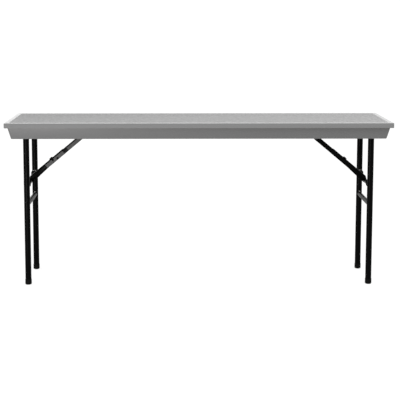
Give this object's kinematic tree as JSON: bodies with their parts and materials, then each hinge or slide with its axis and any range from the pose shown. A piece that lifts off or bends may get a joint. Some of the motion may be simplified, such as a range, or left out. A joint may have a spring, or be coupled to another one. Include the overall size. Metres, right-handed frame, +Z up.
{
  "type": "folding table",
  "caption": "Narrow rectangular folding table: flat top on a flared skirt, folding tubular leg frames, each held by a two-link knee brace with a thumb lock.",
  "frame": {"origin": "on the floor, under the centre of the table top", "axes": "+X along the length of the table, +Y across it towards the back, +Z up"},
  "size_m": [1.8, 0.457, 0.779],
  "materials": {
    "top_plastic": "fine grained light grey, smooth rim",
    "skirt_plastic": "satin mid grey",
    "core_board": "raw plywood",
    "black_steel": "semi-gloss black powder coat",
    "zinc_steel": "bright zinc plate",
    "foot_plastic": "moulded black plastic"
  },
  "bodies": {
    "table": {"top_skin": "top_plastic", "core_board": "core_board", "skirt_front": "skirt_plastic", "skirt_back": "skirt_plastic", "skirt_left": "skirt_plastic", "skirt_right": "skirt_plastic", "corner_gusset_front_right": "zinc_steel", "corner_gusset_front_left": "zinc_steel", "corner_gusset_back_right": "zinc_steel", "corner_gusset_back_left": "zinc_steel", "hinge_saddle_front_right": "zinc_steel", "hinge_saddle_back_right": "zinc_steel", "brace_bracket_right": "black_steel", "brace_upper_pin_right": "zinc_steel", "hinge_saddle_front_left": "zinc_steel", "hinge_saddle_back_left": "zinc_steel", "brace_bracket_left": "black_steel", "brace_upper_pin_left": "zinc_steel"},
    "leg_frame_right": {"leg_front_right": "black_steel", "leg_back_right": "black_steel", "foot_front_right": "foot_plastic", "foot_back_right": "foot_plastic", "rod_lug_front_right": "black_steel", "rod_lug_back_right": "black_steel", "cross_rod_front_right": "black_steel", "cross_rod_back_right": "black_steel", "fold_rod_cap_front_right": "zinc_steel", "fold_rod_cap_back_right": "zinc_steel", "fold_rod_right": "zinc_steel", "lower_cross_tube_right": "black_steel"},
    "upper_link_right": {"brace_upper_link_right": "black_steel"},
    "lower_link_right": {"brace_lower_link_right": "black_steel", "brace_lower_pin_right": "black_steel", "knee_rivet_right": "black_steel", "lock_rivet_right": "black_steel", "lock_spring_right": "zinc_steel"},
    "lock_lever_right": {"lock_lever_right": "black_steel"},
    "leg_frame_left": {"leg_front_left": "black_steel", "leg_back_left": "black_steel", "foot_front_left": "foot_plastic", "foot_back_left": "foot_plastic", "rod_lug_front_left": "black_steel", "rod_lug_back_left": "black_steel", "cross_rod_front_left": "black_steel", "cross_rod_back_left": "black_steel", "fold_rod_cap_front_left": "zinc_steel", "fold_rod_cap_back_left": "zinc_steel", "fold_rod_left": "zinc_steel", "lower_cross_tube_left": "black_steel"},
    "upper_link_left": {"brace_upper_link_left": "black_steel"},
    "lower_link_left": {"brace_lower_link_left": "black_steel", "brace_lower_pin_left": "black_steel", "knee_rivet_left": "black_steel", "lock_rivet_left": "black_steel", "lock_spring_left": "zinc_steel"},
    "lock_lever_left": {"lock_lever_left": "black_steel"}
  },
  "joints": [
    {"name": "leg_fold_right", "type": "hinge", "parent": "table", "child": "leg_frame_right", "pos_m": [0.809, 0, 0.722], "axis": [0, 1, 0], "range_deg": [0, 90]},
    {"name": "brace_swing_right", "type": "hinge", "parent": "table", "child": "upper_link_right", "pos_m": [0.49565, 0, 0.737], "axis": [0, -1, 0], "range_deg": [0, 39.95]},
    {"name": "knee_right", "type": "hinge", "parent": "upper_link_right", "child": "lower_link_right", "pos_m": [0.67752, 0, 0.58493], "axis": [0, 1, 0], "range_deg": [0, 175.03]},
    {"name": "lock_press_right", "type": "hinge", "parent": "lower_link_right", "child": "lock_lever_right", "pos_m": [0.70093, 0, 0.57644], "axis": [0, 1, 0], "range_deg": [0, 12], "stiffness_Nm_per_rad": 0.08},
    {"name": "leg_fold_left", "type": "hinge", "parent": "table", "child": "leg_frame_left", "pos_m": [-0.809, 0, 0.722], "axis": [0, -1, 0], "range_deg": [0, 90]},
    {"name": "brace_swing_left", "type": "hinge", "parent": "table", "child": "upper_link_left", "pos_m": [-0.49565, 0, 0.737], "axis": [0, 1, 0], "range_deg": [0, 39.95]},
    {"name": "knee_left", "type": "hinge", "parent": "upper_link_left", "child": "lower_link_left", "pos_m": [-0.67752, 0, 0.58493], "axis": [0, -1, 0], "range_deg": [0, 175.03]},
    {"name": "lock_press_left", "type": "hinge", "parent": "lower_link_left", "child": "lock_lever_left", "pos_m": [-0.70093, 0, 0.57644], "axis": [0, -1, 0], "range_deg": [0, 12], "stiffness_Nm_per_rad": 0.08}
  ],
  "couplings": [
    {"joint": "brace_swing_right", "follows": "leg_fold_right", "ratio": 0.44333},
    {"joint": "knee_right", "follows": "leg_fold_right", "ratio": 1.9442},
    {"joint": "brace_swing_left", "follows": "leg_fold_left", "ratio": 0.44333},
    {"joint": "knee_left", "follows": "leg_fold_left", "ratio": 1.9442}
  ]
}
